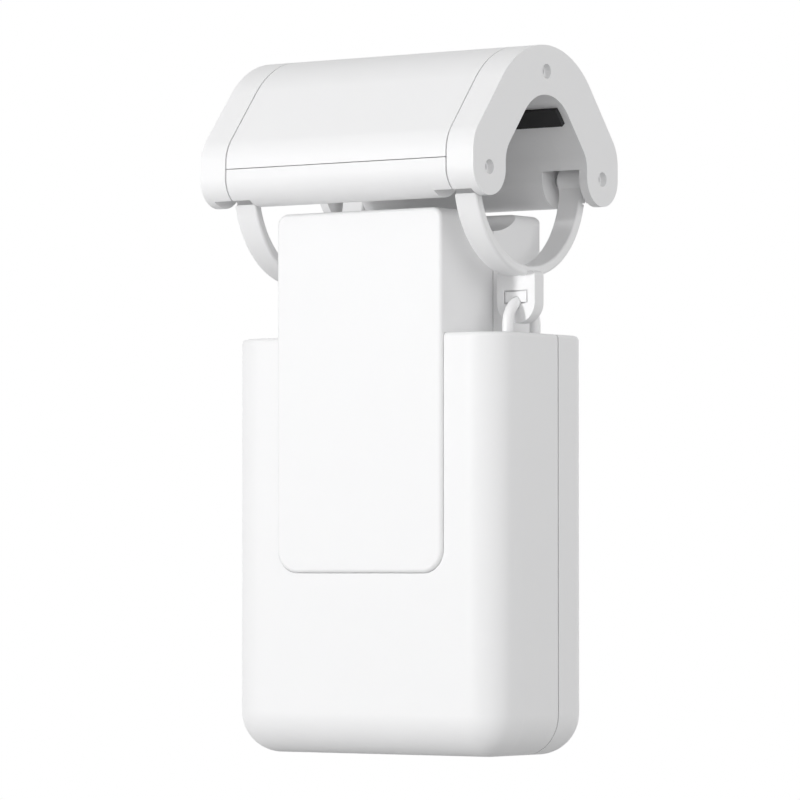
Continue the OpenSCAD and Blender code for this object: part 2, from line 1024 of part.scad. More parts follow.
module drive_frame() {
    color(grey)
        difference() {
            union() {
                for (y = [frame_front, frame_rear])
                    box([-frame_x, y, frame_bot], [frame_x, y + frame_t, frame_top]);
                box([-frame_x, frame_front, frame_bot - frame_t],
                    [frame_x, frame_rear + frame_t, frame_bot]);
                translate([0, 0, idler_z])
                    round_y(gear_y - idler_pin_tip, frame_rear - gear_y + idler_pin_tip + eps, idler_pin_r);
            }
            translate([0, 0, wheel_z])
                round_y(frame_front - over, axle_y1 - frame_front + 2 * over, bearing_r);
        }
}

module axle_bearings() {
    color(steel)
        for (y = [frame_front, frame_rear])
            translate([0, 0, wheel_z])
                difference() {
                    round_y(y, frame_t, bearing_r);
                    round_y(y - over, frame_t + 2 * over, axle_r + run);
                }
}

module wheel_axle() {
    color(steel)
        translate([0, 0, wheel_z])
            round_y(axle_y0, axle_y1 - axle_y0, axle_r);
}

module wheel_hub() {
    color(grey)
        translate([0, 0, wheel_z])
            difference() {
                round_y(-wheel_w / 2, wheel_w, wheel_core_r);
                round_y(-wheel_w, 2 * wheel_w, axle_r);
            }
}

module wheel_tyre() {
    color(black)
        translate([0, 0, wheel_z])
            rotate([90, 0, 0])
                rotate_extrude()
                    difference() {
                        translate([wheel_core_r, -wheel_w / 2])
                            square([wheel_r + wheel_edge - wheel_core_r, wheel_w]);
                        translate([wheel_r + wheel_hollow_r, 0]) circle(r = wheel_hollow_r);
                    }
}

// Outline of a spur gear with slim straight-sided teeth.
module gear_outline(n, rp, turn) {
    ra = rp + tooth_add;
    rf = rp - tooth_ded;
    circle(r = rf);
    for (i = [0 : n - 1])
        rotate(turn + i * 360 / n)
            polygon([
                [rf - tooth_sunk, -tooth_root],
                [ra, -tooth_tip],
                [ra, tooth_tip],
                [rf - tooth_sunk, tooth_root]
            ]);
}

module wheel_gear() {
    color(white_b)
        translate([0, 0, wheel_z])
            difference() {
                union() {
                    along_y(gear_y, gear_t) gear_outline(wheel_teeth, wheel_gear_r, -90);
                    round_y(wheel_w / 2, gear_y - wheel_w / 2 + eps, bearing_r);
                }
                round_y(0, far, axle_r);
            }
}

module idler_gear() {
    color(white_b)
        translate([0, 0, idler_z])
            difference() {
                along_y(gear_y, gear_t) gear_outline(idler_teeth, idler_gear_r, 90 + 180 / idler_teeth);
                round_y(0, far, idler_pin_r + run);
            }
}

module motor_pinion() {
    color(steel)
        translate([0, 0, pinion_z])
            union() {
                along_y(gear_y, gear_t) gear_outline(pinion_teeth, pinion_gear_r, 90);
                round_y(motor_face + seam, gear_y - motor_face - seam + eps, shaft_r);
            }
}

module motor() {
    color(steel)
        translate([0, 0, pinion_z])
            round_y(motor_back, motor_face - motor_back, motor_d / 2);
}

// Places a child at each cell's axis.
module at_cells() {
    for (i = [0, 1])
        translate([0, cell_y, cell_z0 + i * cell_pitch]) children();
}

module battery_cells() {
    color(blue)
        at_cells() round_x(-cell_l / 2, cell_l, cell_r);
}

module battery_tray() {
    color(grey)
        difference() {
            union() {
                box([-tray_x, tray_y, tray_z0], [tray_x, tray_y + tray_t, tray_z1]);
                for (s = [-1, 1]) {
                    box([s * rib_x - rib_t / 2, cell_y, cell_z0 - cell_r],
                        [s * rib_x + rib_t / 2, tray_y + eps, cell_z0 + cell_pitch + cell_r]);
                    for (z = boss_z)
                        translate([s * standoff_x, 0, z])
                            round_y(tray_y + eps, board_y - tray_y - eps, standoff_r);
                }
                both_sides()
                    box([cell_l / 2, cell_y - tray_end_y, cell_z0 - cell_r],
                        [cell_l / 2 + tray_end_t, tray_y + eps, cell_z0 + cell_pitch + cell_r]);
            }
            at_cells() round_x(-cell_l / 2, cell_l, cell_r);
        }
}

module main_board() {
    color(green)
        union() {
            box([-board_x, board_y, board_z0], [board_x, board_y + board_t, board_z0 + board_h]);
            box([button_x - boss_r, board_y + board_t - eps, switch_z],
                [button_x + boss_r, board_y + board_t + port_h, switch_z + switch_h]);
            box([-boss_r, board_y + board_t - eps, board_z0 + board_h / 2],
                [boss_r, board_y + 2 * board_t, board_z0 + board_h / 2 + 2 * boss_r]);
        }
}

module charge_port() {
    color(steel)
        translate([0, port_y, body_bot + port_fit])
            union() {
                difference() {
                    linear_extrude(height = port_l)
                        plan_shape(port_w / 2, port_h / 2, port_h / 2 - eps, port_h / 2 - eps);
                    translate([0, 0, -port_back])
                        linear_extrude(height = port_l)
                            plan_shape(port_w / 2 - port_skin, port_h / 2 - port_skin,
                                port_h / 2 - port_skin - eps, port_h / 2 - port_skin - eps);
                }
                box([-port_tongue_w / 2, -port_tongue_t / 2, port_tongue_z],
                    [port_tongue_w / 2, port_tongue_t / 2, port_l - port_back + eps]);
            }
}

module pair_button() {
    color(white_b)
        translate([button_x, port_y, body_bot + port_fit])
            union() {
                cylinder(h = wall, r = button_r);
                translate([0, 0, wall]) cylinder(h = button_flange_t, r = button_flange_r);
            }
}

module light_pipe() {
    color(clear)
        translate([-button_x, port_y, body_bot + port_fit])
            cylinder(h = board_z0 - body_bot, r = pipe_r);
}

head_cover();
head_chassis();
left_end_cap();
right_end_cap();
cap_screws();
hinge_pin();
latch_pin();
left_roller_axle();
right_roller_axle();
left_roller_hub();
right_roller_hub();
left_roller_tyre();
right_roller_tyre();
left_ring();
right_ring();
left_bail();
right_bail();
slot_plugs();
bail_collars();
bail_bushes();
front_strap_cover();
neck_rear_cover();
body_front_shell();
body_rear_shell();
shell_screws();
drive_frame();
axle_bearings();
wheel_axle();
wheel_hub();
wheel_tyre();
wheel_gear();
idler_gear();
motor_pinion();
motor();
battery_cells();
battery_tray();
main_board();
charge_port();
pair_button();
light_pipe();
front_pad();
rear_pad();
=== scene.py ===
"""Studio looks of a curtain robot: arched head, hinged rings, wire bails and drive unit.

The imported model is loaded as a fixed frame. The mouldings that show are copied from
their solids and get the small moulded radii of the real piece; the other solids keep
their mesh. Every piece is dressed with a procedural finish and rides on its body.
"""

import json
import logging
import math
from dataclasses import dataclass, field
from enum import Enum
from typing import Callable

import bpy
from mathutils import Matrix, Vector

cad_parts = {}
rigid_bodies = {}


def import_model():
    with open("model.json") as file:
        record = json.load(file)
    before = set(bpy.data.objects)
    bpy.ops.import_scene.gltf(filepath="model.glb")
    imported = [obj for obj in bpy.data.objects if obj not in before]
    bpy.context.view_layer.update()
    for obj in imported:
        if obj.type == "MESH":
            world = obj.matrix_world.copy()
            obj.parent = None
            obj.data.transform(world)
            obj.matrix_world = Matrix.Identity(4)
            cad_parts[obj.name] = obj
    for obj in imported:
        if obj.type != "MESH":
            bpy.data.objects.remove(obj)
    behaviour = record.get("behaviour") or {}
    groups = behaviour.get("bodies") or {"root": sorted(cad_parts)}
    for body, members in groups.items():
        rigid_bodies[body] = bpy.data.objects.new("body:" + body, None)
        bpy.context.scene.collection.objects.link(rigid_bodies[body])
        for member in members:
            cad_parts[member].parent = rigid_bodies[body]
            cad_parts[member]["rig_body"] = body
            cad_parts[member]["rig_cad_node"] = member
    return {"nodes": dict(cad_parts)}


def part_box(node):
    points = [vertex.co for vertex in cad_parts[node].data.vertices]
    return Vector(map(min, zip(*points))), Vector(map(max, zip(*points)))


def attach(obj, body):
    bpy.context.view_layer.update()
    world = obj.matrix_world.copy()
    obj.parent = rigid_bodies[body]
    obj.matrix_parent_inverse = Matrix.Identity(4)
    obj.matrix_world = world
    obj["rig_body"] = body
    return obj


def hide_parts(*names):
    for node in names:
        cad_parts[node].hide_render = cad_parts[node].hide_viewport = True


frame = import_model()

LOG = logging.getLogger("curtain_robot")
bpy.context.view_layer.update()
MM = 0.001
WHITE = (1.0, 1.0, 1.0, 1.0)
WHITE_STRENGTH = 1.0

Point = tuple[float, float, float]
Colour = tuple[float, float, float]
EdgeTest = Callable[[Vector, Vector], bool]


class Body(str, Enum):
    """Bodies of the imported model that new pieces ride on."""

    HEAD = "head"
    GATE = "gate"
    UNIT = "drive_unit"


class Slot(str, Enum):
    """Material slots of the record."""

    SHELL = "white_shell"
    CHASSIS = "white_chassis"
    WIRE = "white_wire"
    BUTTON = "white_button"
    STEEL = "steel"
    GREY = "grey_plastic"
    GEAR = "gear_plastic"
    RUBBER = "black_rubber"
    CAN = "motor_can"
    CELL = "cell_sleeve"
    BOARD = "board_green"
    CLEAR = "clear_plastic"


class Drawn(Enum):
    """Scale of a finish along the three axes; a small one draws its grain out along that axis."""

    EVENLY = (1.0, 1.0, 1.0)
    FRONT_TO_BACK = (1.0, 0.04, 1.0)


class NodeGroups:
    """Effects that several finishes share, each built once as a shader node group.

    Attributes:
        GRAIN_DETAIL: Octaves of the fine grain.
        GRAIN_ROUGHNESS: Weight of its finer octaves.
        CELL_SHARE: Share of rounded cells in the grain.
        TONE_DETAIL: Octaves of the tone patches.
        COLOUR_A: Place of the first colour among the inputs of a Mix node.
        COLOUR_B: Place of the second colour among them.
        COLOUR_RESULT: Place of the mixed colour among its outputs.
    """

    GRAIN_DETAIL = 3.0
    GRAIN_ROUGHNESS = 0.6
    CELL_SHARE = 0.4
    TONE_DETAIL = 4.0
    COLOUR_A = 6
    COLOUR_B = 7
    COLOUR_RESULT = 2

    def __init__(self) -> None:
        """Builds the groups."""
        self.grain = self._grain()
        self.tone = self._tone()

    @staticmethod
    def _new(name: str, inputs: dict[str, str], outputs: dict[str, str]) -> bpy.types.NodeTree:
        """Makes an empty group with its sockets.

        Args:
            name: Name of the group.
            inputs: Socket name to socket type.
            outputs: Socket name to socket type.

        Returns:
            The group's node tree.
        """
        group = bpy.data.node_groups.new(name, "ShaderNodeTree")
        for label, kind in inputs.items():
            group.interface.new_socket(name=label, in_out="INPUT", socket_type=kind)
        for label, kind in outputs.items():
            group.interface.new_socket(name=label, in_out="OUTPUT", socket_type=kind)
        return group

    def _grain(self) -> bpy.types.NodeTree:
        """Fine spark-eroded grain of a mould, as a height.

        Returns:
            The group's node tree.
        """
        group = self._new(
            "mould_grain",
            {"Vector": "NodeSocketVector", "Scale": "NodeSocketFloat"},
            {"Height": "NodeSocketFloat"},
        )
        nodes, links = group.nodes, group.links
        source = nodes.new("NodeGroupInput")
        fine = nodes.new("ShaderNodeTexNoise")
        fine.inputs["Detail"].default_value = self.GRAIN_DETAIL
        fine.inputs["Roughness"].default_value = self.GRAIN_ROUGHNESS
        cells = nodes.new("ShaderNodeTexVoronoi")
        cells.feature = "SMOOTH_F1"
        mix = nodes.new("ShaderNodeMix")
        mix.inputs["Factor"].default_value = self.CELL_SHARE
        sink = nodes.new("NodeGroupOutput")
        for texture in (fine, cells):
            links.new(source.outputs["Vector"], texture.inputs["Vector"])
            links.new(source.outputs["Scale"], texture.inputs["Scale"])
        links.new(fine.outputs["Fac"], mix.inputs["A"])
        links.new(cells.outputs["Distance"], mix.inputs["B"])
        links.new(mix.outputs["Result"], sink.inputs["Height"])
        return group

    def _tone(self) -> bpy.types.NodeTree:
        """Slow change of colour and gloss over a surface.

        Returns:
            The group's node tree.
        """
        group = self._new(
            "surface_tone",
            {
                "Vector": "NodeSocketVector",
                "Scale": "NodeSocketFloat",
                "Light": "NodeSocketColor",
                "Dark": "NodeSocketColor",
                "Smooth": "NodeSocketFloat",
                "Rough": "NodeSocketFloat",
            },
            {"Colour": "NodeSocketColor", "Roughness": "NodeSocketFloat"},
        )
        nodes, links = group.nodes, group.links
        source = nodes.new("NodeGroupInput")
        noise = nodes.new("ShaderNodeTexNoise")
        noise.inputs["Detail"].default_value = self.TONE_DETAIL
        colour = nodes.new("ShaderNodeMix")
        colour.data_type = "RGBA"
        gloss = nodes.new("ShaderNodeMapRange")
        sink = nodes.new("NodeGroupOutput")
        links.new(source.outputs["Vector"], noise.inputs["Vector"])
        links.new(source.outputs["Scale"], noise.inputs["Scale"])
        links.new(noise.outputs["Fac"], colour.inputs["Factor"])
        links.new(source.outputs["Dark"], colour.inputs[self.COLOUR_A])
        links.new(source.outputs["Light"], colour.inputs[self.COLOUR_B])
        links.new(noise.outputs["Fac"], gloss.inputs["Value"])
        links.new(source.outputs["Smooth"], gloss.inputs["To Min"])
        links.new(source.outputs["Rough"], gloss.inputs["To Max"])
        links.new(colour.outputs[self.COLOUR_RESULT], sink.inputs["Colour"])
        links.new(gloss.outputs["Result"], sink.inputs["Roughness"])
        return group


@dataclass(frozen=True)
class Finish:
    """A surface finish with fine grain and a slow change of tone.

    Attributes:
        name: Name of the material.
        slot: Slot of the record that the finish belongs to.
        light: Colour of the lighter places.
        dark: Colour of the darker places.
        smooth: Roughness of the smoother places.
        rough: Roughness of the rougher places.
        grain: Grains in a metre.
        depth: Height of the grain in metres.
        patch: Tone patches in a metre.
        metallic: Metal share of the surface.
        specular: Specular level of the surface.
        coat: Weight of a clear coat.
        transmission: Share of light let through.
        drawn: How the grain is drawn out.
    """

    name: str
    slot: Slot
    light: Colour
    dark: Colour
    smooth: float
    rough: float
    grain: float = 5000.0
    depth: float = 2e-6
    patch: float = 60.0
    metallic: float = 0.0
    specular: float = 0.5
    coat: float = 0.0
    transmission: float = 0.0
    drawn: Drawn = Drawn.EVENLY

    def material(self, groups: NodeGroups) -> bpy.types.Material:
        """Builds the finish as a node material.

        Args:
            groups: The shared effects.

        Returns:
            The material.
        """
        made = bpy.data.materials.new(self.name)
        made.use_nodes = True
        nodes, links = made.node_tree.nodes, made.node_tree.links
        shader = nodes["Principled BSDF"]
        place = nodes.new("ShaderNodeTexCoord")
        stretch = nodes.new("ShaderNodeMapping")
        stretch.inputs["Scale"].default_value = self.drawn.value
        links.new(place.outputs["Object"], stretch.inputs["Vector"])
        tone = nodes.new("ShaderNodeGroup")
        tone.node_tree = groups.tone
        tone.inputs["Scale"].default_value = self.patch
        tone.inputs["Light"].default_value = (*self.light, 1.0)
        tone.inputs["Dark"].default_value = (*self.dark, 1.0)
        tone.inputs["Smooth"].default_value = self.smooth
        tone.inputs["Rough"].default_value = self.rough
        grain = nodes.new("ShaderNodeGroup")
        grain.node_tree = groups.grain
        grain.inputs["Scale"].default_value = self.grain
        bump = nodes.new("ShaderNodeBump")
        bump.inputs["Distance"].default_value = self.depth
        links.new(stretch.outputs["Vector"], tone.inputs["Vector"])
        links.new(stretch.outputs["Vector"], grain.inputs["Vector"])
        links.new(tone.outputs["Colour"], shader.inputs["Base Color"])
        links.new(tone.outputs["Roughness"], shader.inputs["Roughness"])
        links.new(grain.outputs["Height"], bump.inputs["Height"])
        links.new(bump.outputs["Normal"], shader.inputs["Normal"])
        shader.inputs["Metallic"].default_value = self.metallic
        shader.inputs["Specular IOR Level"].default_value = self.specular
        shader.inputs["Coat Weight"].default_value = self.coat
        shader.inputs["Transmission Weight"].default_value = self.transmission
        return made


FINISHES: tuple[Finish, ...] = (
    Finish(
        "satin_white_shell", Slot.SHELL, light=(0.872, 0.872, 0.876), dark=(0.86, 0.86, 0.865),
        smooth=0.42, rough=0.5, specular=0.3,
    ),
    Finish(
        "satin_white_chassis", Slot.CHASSIS, light=(0.866, 0.866, 0.87), dark=(0.85, 0.85, 0.856),
        smooth=0.44, rough=0.54, specular=0.3,
    ),
    Finish(
        "coated_white_wire", Slot.WIRE, light=(0.88, 0.88, 0.884), dark=(0.865, 0.865, 0.87),
        smooth=0.28, rough=0.36, grain=2600.0, depth=4e-6,
    ),
    Finish(
        "white_button_cap", Slot.BUTTON, light=(0.87, 0.87, 0.88), dark=(0.85, 0.85, 0.86),
        smooth=0.25, rough=0.32, grain=6000.0, depth=1e-6,
    ),
    Finish(
        "plain_steel", Slot.STEEL, light=(0.66, 0.66, 0.67), dark=(0.58, 0.58, 0.59),
        smooth=0.24, rough=0.36, grain=3000.0, patch=400.0, metallic=1.0,
    ),
    Finish(
        "grey_moulding", Slot.GREY, light=(0.32, 0.33, 0.35), dark=(0.28, 0.29, 0.31),
        smooth=0.48, rough=0.6,
    ),
    Finish(
        "acetal_gear", Slot.GEAR, light=(0.82, 0.81, 0.76), dark=(0.78, 0.77, 0.72),
        smooth=0.36, rough=0.46,
    ),
    Finish(
        "black_tyre", Slot.RUBBER, light=(0.024, 0.024, 0.026), dark=(0.014, 0.014, 0.015),
        smooth=0.7, rough=0.86, grain=2200.0, depth=12e-6, patch=160.0,
    ),
    Finish(
        "drawn_can", Slot.CAN, light=(0.6, 0.6, 0.61), dark=(0.5, 0.5, 0.51),
        smooth=0.26, rough=0.4, grain=2600.0, depth=3e-6, patch=300.0, metallic=1.0,
        drawn=Drawn.FRONT_TO_BACK,
    ),
    Finish(
        "cell_wrap", Slot.CELL, light=(0.13, 0.27, 0.54), dark=(0.1, 0.22, 0.46),
        smooth=0.3, rough=0.4, grain=1500.0, depth=3e-6, patch=90.0, coat=0.3,
    ),
    Finish(
        "solder_mask", Slot.BOARD, light=(0.035, 0.18, 0.09), dark=(0.024, 0.13, 0.065),
        smooth=0.3, rough=0.42, grain=1800.0, depth=6e-6, patch=700.0,
    ),
    Finish(
        "clear_guide", Slot.CLEAR, light=(0.84, 0.88, 0.9), dark=(0.8, 0.85, 0.88),
        smooth=0.08, rough=0.16, grain=900.0, depth=1e-6, transmission=0.85,
    ),
)


class Wardrobe:
    """All finishes as materials, ready to be put on pieces."""

    def __init__(self) -> None:
        """Builds each material once."""
        groups = NodeGroups()
        self.materials = {finish.slot: finish.material(groups) for finish in FINISHES}

    def dress(self, piece: bpy.types.Object, slot: Slot) -> None:
        """Puts one finish on a whole piece.

        Args:
            piece: The mesh object.
            slot: The finish's slot.
        """
        piece.data.materials.clear()
        piece.data.materials.append(self.materials[slot])


@dataclass(frozen=True)
class Rounding:
    """A run of edges that gets one radius.

    Attributes:
        width: Width of the rounding in metres.
        test: Says from an edge's two ends if it belongs to the run.
        segments: Steps across the rounding.
    """

    width: float
    test: EdgeTest
    segments: int = 3


def on_planes(axis: int, value: float, reach: float = 0.02 * MM) -> EdgeTest:
    """Test for edges that lie in either of two planes, square to an axis and mirrored about zero.

    Args:
        axis: Index of the axis.
        value: Distance of the planes from zero, in metres.
        reach: How far an end may be from its plane.

    Returns:
        The test.
    """
    return lambda a, b: all(abs(abs(end[axis]) - value) < reach for end in (a, b))


def any_edge(a: Vector, b: Vector) -> bool:
    """Test that takes every edge."""
    return True


class Modeller:
    """Hand operations on meshes, done with Blender's own operators.

    Attributes:
        SHARP: Least angle between faces at an edge that may be rounded.
        SMOOTH: Largest angle between faces that is shaded smooth.
        FLAT: Largest angle between faces that are joined into one.
        MERGE: Distance under which points are merged.
        ROUND: Profile of a round bevel.
        FRAME_MARKS: Marks of a solid that its copy doesn't keep.
    """

    SHARP = math.radians(24.0)
    SMOOTH = math.radians(32.0)
    FLAT = math.radians(0.4)
    MERGE = 0.002 * MM
    ROUND = 0.5
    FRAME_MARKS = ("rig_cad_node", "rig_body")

    @staticmethod
    def only(piece: bpy.types.Object) -> None:
        """Selects one object and makes it active.

        Args:
            piece: The object.
        """
        bpy.ops.object.select_all(action="DESELECT")
        piece.select_set(True)
        bpy.context.view_layer.objects.active = piece

    def copy_node(self, node: str, name: str) -> bpy.types.Object:
        """Copies a solid into a new piece with a clean mesh.

        Args:
            node: Name of the CAD node.
            name: Name of the new piece.

        Returns:
            The new piece, with doubles merged and flat faces joined.
        """
        self.only(frame["nodes"][node])
        bpy.ops.object.duplicate()
        piece = bpy.context.active_object
        piece.name = name
        piece.data.name = name
        piece.parent = None
        for mark in self.FRAME_MARKS:
            del piece[mark]
        bpy.ops.mesh.customdata_custom_splitnormals_clear()
        bpy.ops.object.mode_set(mode="EDIT")
        bpy.ops.mesh.select_all(action="SELECT")
        bpy.ops.mesh.remove_doubles(threshold=self.MERGE)
        bpy.ops.mesh.dissolve_limited(angle_limit=self.FLAT)
        bpy.ops.object.mode_set(mode="OBJECT")
        return piece

    def round_edges(self, piece: bpy.types.Object, rounding: Rounding) -> None:
        """Bevels the sharp edges that a test takes.

        Args:
            piece: The mesh object.
            rounding: Width and test.
        """
        self.only(piece)
        bpy.ops.object.mode_set(mode="EDIT")
        bpy.ops.mesh.select_mode(type="EDGE")
        bpy.ops.mesh.select_all(action="DESELECT")
        bpy.ops.mesh.edges_select_sharp(sharpness=self.SHARP)
        bpy.ops.object.mode_set(mode="OBJECT")
        points = piece.data.vertices
        for edge in piece.data.edges:
            if edge.select:
                a, b = (points[i].co for i in edge.vertices)
                edge.select = rounding.test(a, b)
        bpy.ops.object.mode_set(mode="EDIT")
        bpy.ops.mesh.bevel(
            offset=rounding.width,
            segments=rounding.segments,
            profile=self.ROUND,
            affect="EDGES",
            clamp_overlap=True,
        )
        bpy.ops.object.mode_set(mode="OBJECT")

    def smooth(self, piece: bpy.types.Object) -> None:
        """Shades a piece smooth, with its large faces kept flat.

        Args:
            piece: The mesh object.
        """
        self.only(piece)
        bpy.ops.object.shade_smooth_by_angle(angle=self.SMOOTH)
        flat = piece.modifiers.new("flat_faces", "WEIGHTED_NORMAL")
        flat.keep_sharp = True
        bpy.ops.object.modifier_apply(modifier=flat.name)


@dataclass(frozen=True)
class Moulding:
    """A solid that is shown as a copy with its moulded radii.

    Attributes:
        node: Name of the CAD node.
        slot: Finish of the piece.
        body: Body that the piece rides on.
        roundings: Runs of edges in the order in which they are rounded.
    """

    node: str
    slot: Slot
    body: Body
    roundings: tuple[Rounding, ...]

    def build(self, modeller: Modeller, wardrobe: Wardrobe) -> bpy.types.Object:
        """Makes, rounds and dresses the piece.

        Args:
            modeller: The mesh operations.
            wardrobe: The finishes.

        Returns:
            The finished piece.
        """
        piece = modeller.copy_node(self.node, self.node + "_moulding")
        for rounding in self.roundings:
            modeller.round_edges(piece, rounding)
        modeller.smooth(piece)
        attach(piece, self.body.value)
        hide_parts(self.node)
        wardrobe.dress(piece, self.slot)
        return piece


class SubAssembly:
    """Base of the sub-assemblies: mouldings that are rounded, and solids that keep their mesh."""

    def mouldings(self) -> tuple[Moulding, ...]:
        """Mouldings that are shown as rounded copies."""
        return ()

    def solids(self) -> dict[str, Slot]:
        """CAD nodes that keep their mesh, with their finishes."""
        return {}

    def build(self, modeller: Modeller, wardrobe: Wardrobe) -> list[bpy.types.Object]:
        """Builds and dresses every piece of the sub-assembly.

        Args:
            modeller: The mesh operations.
            wardrobe: The finishes.

        Returns:
            The pieces, mouldings first.
        """
        pieces = [moulding.build(modeller, wardrobe) for moulding in self.mouldings()]
        for node, slot in self.solids().items():
            piece = frame["nodes"][node]
            wardrobe.dress(piece, slot)
            pieces.append(piece)
        return pieces


@dataclass
class Head(SubAssembly):
    """Arched saddle head with its rollers and pins.

    Attributes:
        end: Distance of the end faces from the middle.
        rim: Radius of the rim of an end cap.
        seam: Radius of the edges along the seams.
        seam_steps: Steps across such an edge.
    """

    end: float = field(default_factory=lambda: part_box("right_end_cap")[1][0])
    rim: float = 0.7 * MM
    seam: float = 0.08 * MM
    seam_steps: int = 2

    def mouldings(self) -> tuple[Moulding, ...]:
        """Cover, chassis and the two end caps.

        Returns:
            The mouldings.
        """
        fine = Rounding(self.seam, any_edge, self.seam_steps)
        cap = (Rounding(self.rim, on_planes(0, self.end)), fine)
        return (
            Moulding("head_cover", Slot.SHELL, Body.HEAD, (fine,)),
            Moulding("head_chassis", Slot.CHASSIS, Body.HEAD, (fine,)),
            Moulding("left_end_cap", Slot.SHELL, Body.HEAD, cap),
            Moulding("right_end_cap", Slot.SHELL, Body.HEAD, cap),
        )

    def solids(self) -> dict[str, Slot]:
        """Screws, pins, axles, rollers and rubber pads.

        Returns:
            Node to finish.
        """
        return {
            "cap_screws": Slot.STEEL,
            "hinge_pin": Slot.STEEL,
            "latch_pin": Slot.STEEL,
            "left_roller_axle": Slot.STEEL,
            "right_roller_axle": Slot.STEEL,
            "left_roller_hub": Slot.GREY,
            "right_roller_hub": Slot.GREY,
            "left_roller_tyre": Slot.RUBBER,
            "right_roller_tyre": Slot.RUBBER,
            "front_pad": Slot.RUBBER,
            "rear_pad": Slot.RUBBER,
        }


@dataclass
class Gate(SubAssembly):
    """Half rings with eyelets, and the wire bails that run through them.

    Attributes:
        edge: Radius of a ring's edges.
    """

    edge: float = 0.35 * MM

    def mouldings(self) -> tuple[Moulding, ...]:
        """The two rings with their eyelet tabs.

        Returns:
            The mouldings.
        """
        run = (Rounding(self.edge, any_edge),)
        return (
            Moulding("left_ring", Slot.SHELL, Body.GATE, run),
            Moulding("right_ring", Slot.SHELL, Body.GATE, run),
        )

    def solids(self) -> dict[str, Slot]:
        """Bent wire bails, the plugs over them and their collars.

        Returns:
            Node to finish.
        """
        return {
            "left_bail": Slot.WIRE,
            "right_bail": Slot.WIRE,
            "slot_plugs": Slot.SHELL,
            "bail_collars": Slot.STEEL,
        }


@dataclass
class DriveUnit(SubAssembly):
    """Neck, strap and body housing, with the drive train and electronics inside.

    Attributes:
        back: Distance of the neck's rear face from the middle.
        edge: Radius of the edges of that face.
        seam: Radius of the edges along the seams.
        seam_steps: Steps across such an edge.
    """

    back: float = field(default_factory=lambda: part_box("neck_rear_cover")[1][1])
    edge: float = 0.9 * MM
    seam: float = 0.08 * MM
    seam_steps: int = 2

    def mouldings(self) -> tuple[Moulding, ...]:
        """Strap cover, rear neck cover and the two body shells.

        Returns:
            The mouldings.
        """
        fine = Rounding(self.seam, any_edge, self.seam_steps)
        face = Rounding(self.edge, on_planes(1, self.back))
        return (
            Moulding("front_strap_cover", Slot.SHELL, Body.UNIT, (fine,)),
            Moulding("neck_rear_cover", Slot.SHELL, Body.UNIT, (face, fine)),
            Moulding("body_front_shell", Slot.SHELL, Body.UNIT, (fine,)),
            Moulding("body_rear_shell", Slot.SHELL, Body.UNIT, (fine,)),
        )

    def solids(self) -> dict[str, Slot]:
        """Bushes, screws, drive train and electronics.

        Returns:
            Node to finish.
        """
        return {
            "bail_bushes": Slot.GREY,
            "shell_screws": Slot.STEEL,
            "drive_frame": Slot.GREY,
            "axle_bearings": Slot.STEEL,
            "wheel_axle": Slot.STEEL,
            "wheel_hub": Slot.GREY,
            "wheel_tyre": Slot.RUBBER,
            "wheel_gear": Slot.GEAR,
            "idler_gear": Slot.GEAR,
            "motor_pinion": Slot.STEEL,
            "motor": Slot.CAN,
            "battery_cells": Slot.CELL,
            "battery_tray": Slot.GREY,
            "main_board": Slot.BOARD,
            "charge_port": Slot.STEEL,
            "pair_button": Slot.BUTTON,
            "light_pipe": Slot.CLEAR,
        }


@dataclass(frozen=True)
class Softbox:
    """A square studio lamp that faces a point.

    Attributes:
        name: Name of the lamp.
        place: Place of the lamp in metres.
        size: Side of the lamp in metres.
        power: Power in watts.
        mirrored: Whether glossy surfaces show the lamp.
        aim: Point that the lamp faces.
    """

    name: str
    place: Point
    size: float
    power: float
    mirrored: bool = True
    aim: Point = (0.0, 0.0, -0.06)

    def light(self) -> None:
        """Puts the lamp in the scene."""
        data = bpy.data.lights.new(self.name, "AREA")
        data.shape = "SQUARE"
        data.size = self.size
        data.energy = self.power
        lamp = bpy.data.objects.new(self.name, data)
        bpy.context.scene.collection.objects.link(lamp)
        lamp.visible_camera = False
        lamp.visible_glossy = self.mirrored
        lamp.location = self.place
        beam = Vector(self.aim) - Vector(self.place)
        lamp.rotation_euler = beam.to_track_quat("-Z", "Y").to_euler()


LAMPS: tuple[Softbox, ...] = (
    Softbox("key", place=(-0.595, -1.417, 0.142), size=0.14, power=11.7),
    Softbox("fill", place=(1.5, -0.5, 0.3), size=1.8, power=10.2, mirrored=False),
    Softbox("back", place=(-0.3, 1.5, -0.1), size=0.5, power=6.0, mirrored=False),
)


